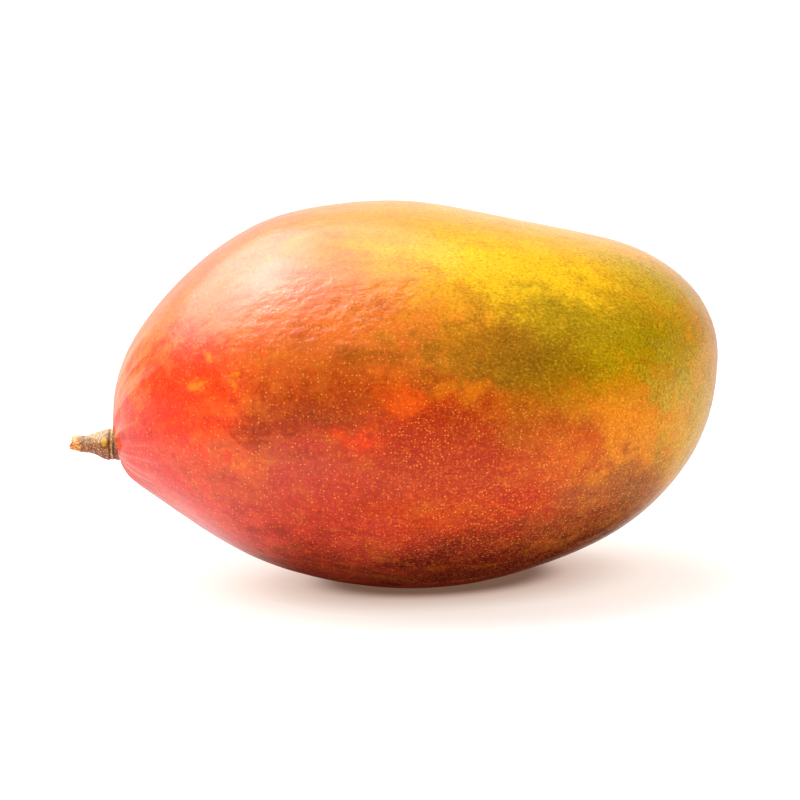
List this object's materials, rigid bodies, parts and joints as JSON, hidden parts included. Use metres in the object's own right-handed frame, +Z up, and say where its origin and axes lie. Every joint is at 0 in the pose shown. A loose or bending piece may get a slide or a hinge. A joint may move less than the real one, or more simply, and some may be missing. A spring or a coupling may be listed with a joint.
{
  "type": "mango",
  "caption": "Whole ripe mango lying on its cheek: a plump, slightly lopsided stone fruit with a waxy skin, a small beak near its tip and a short broken-off woody stalk.",
  "frame": {"origin": "middle of the whole part's box at its lowest point, on the surface it lies on", "axes": "+X from the stalk end to the tip, +Y towards the belly and the beak, +Z up"},
  "size_m": [0.1394, 0.0898, 0.0814],
  "materials": {
    "skin": "waxy ripe skin, red on the nose and underside, orange in the middle, yellow on top and olive towards the tip, with fine pale and dark dots",
    "bark": "dry grey-brown bark with dark rings at the foot and a paler broken end"
  },
  "bodies": {
    "root": {"fruit": "skin", "stalk": "bark"}
  },
  "joints": []
}
